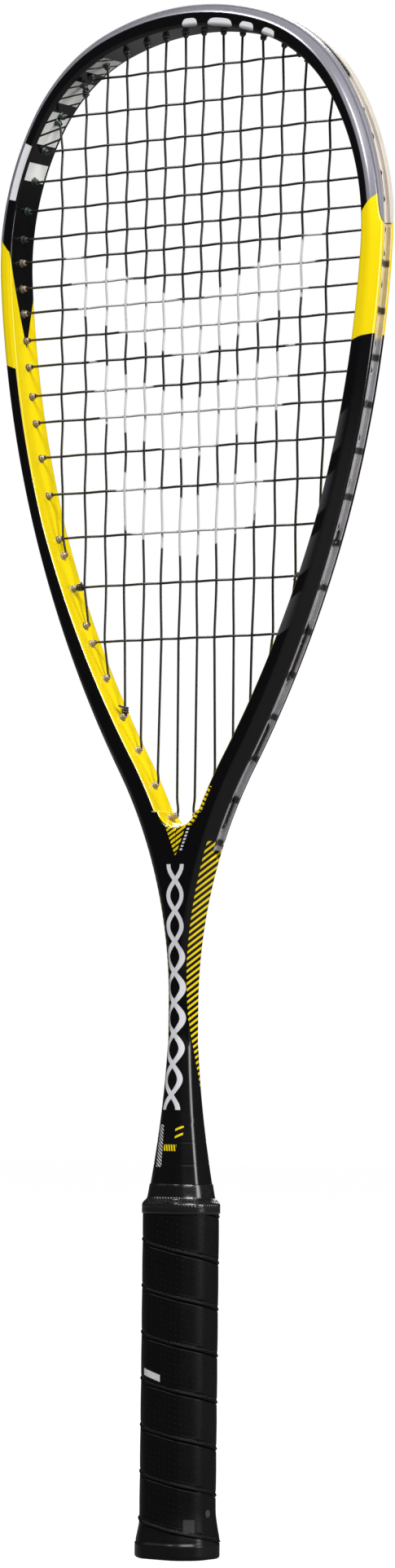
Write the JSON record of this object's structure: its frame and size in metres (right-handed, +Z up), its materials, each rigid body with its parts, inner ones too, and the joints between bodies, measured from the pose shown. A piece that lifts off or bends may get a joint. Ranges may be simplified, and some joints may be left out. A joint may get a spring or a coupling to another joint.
{
  "type": "squash racket",
  "caption": "Strung squash racket with a teardrop head, open throat, slim shaft, bumper guard and wrapped grip, in black, yellow and silver",
  "frame": {"origin": "middle of the flat butt face, at the racket's lower end", "axes": "+Z runs up the handle and shaft to the crown of the head; X runs across the strings, in the string plane; -Y is the front face and +Y the back"},
  "size_m": [0.2092, 0.0328, 0.686],
  "materials": {
    "painted_carbon": "glossy lacquer over moulded carbon, black with a silver crown and yellow shoulders",
    "bumper_nylon": "moulded translucent nylon, satin",
    "strip_nylon": "moulded translucent nylon, slightly glossy",
    "string": "black multifilament nylon with a thin coating",
    "handle_foam": "moulded polyurethane foam, lacquered black where it shows above the grip",
    "butt_plastic": "moulded nylon with a fine grain",
    "staple_steel": "zinc plated wire",
    "grip_polyurethane": "matt perforated polyurethane tape, spirally wrapped",
    "tack_steel": "plated steel",
    "tape_vinyl": "adhesive vinyl tape"
  },
  "bodies": {
    "root": {"frame": "painted_carbon", "bumper_guard": "bumper_nylon", "grommet_strip_left": "strip_nylon", "grommet_strip_right": "strip_nylon", "main_string": "string", "cross_string": "string", "string_knots": "string", "handle_core": "handle_foam", "butt_cap": "butt_plastic", "butt_cap_staples": "staple_steel", "grip_wrap": "grip_polyurethane", "grip_tack": "tack_steel", "finishing_tape": "tape_vinyl"}
  },
  "joints": []
}
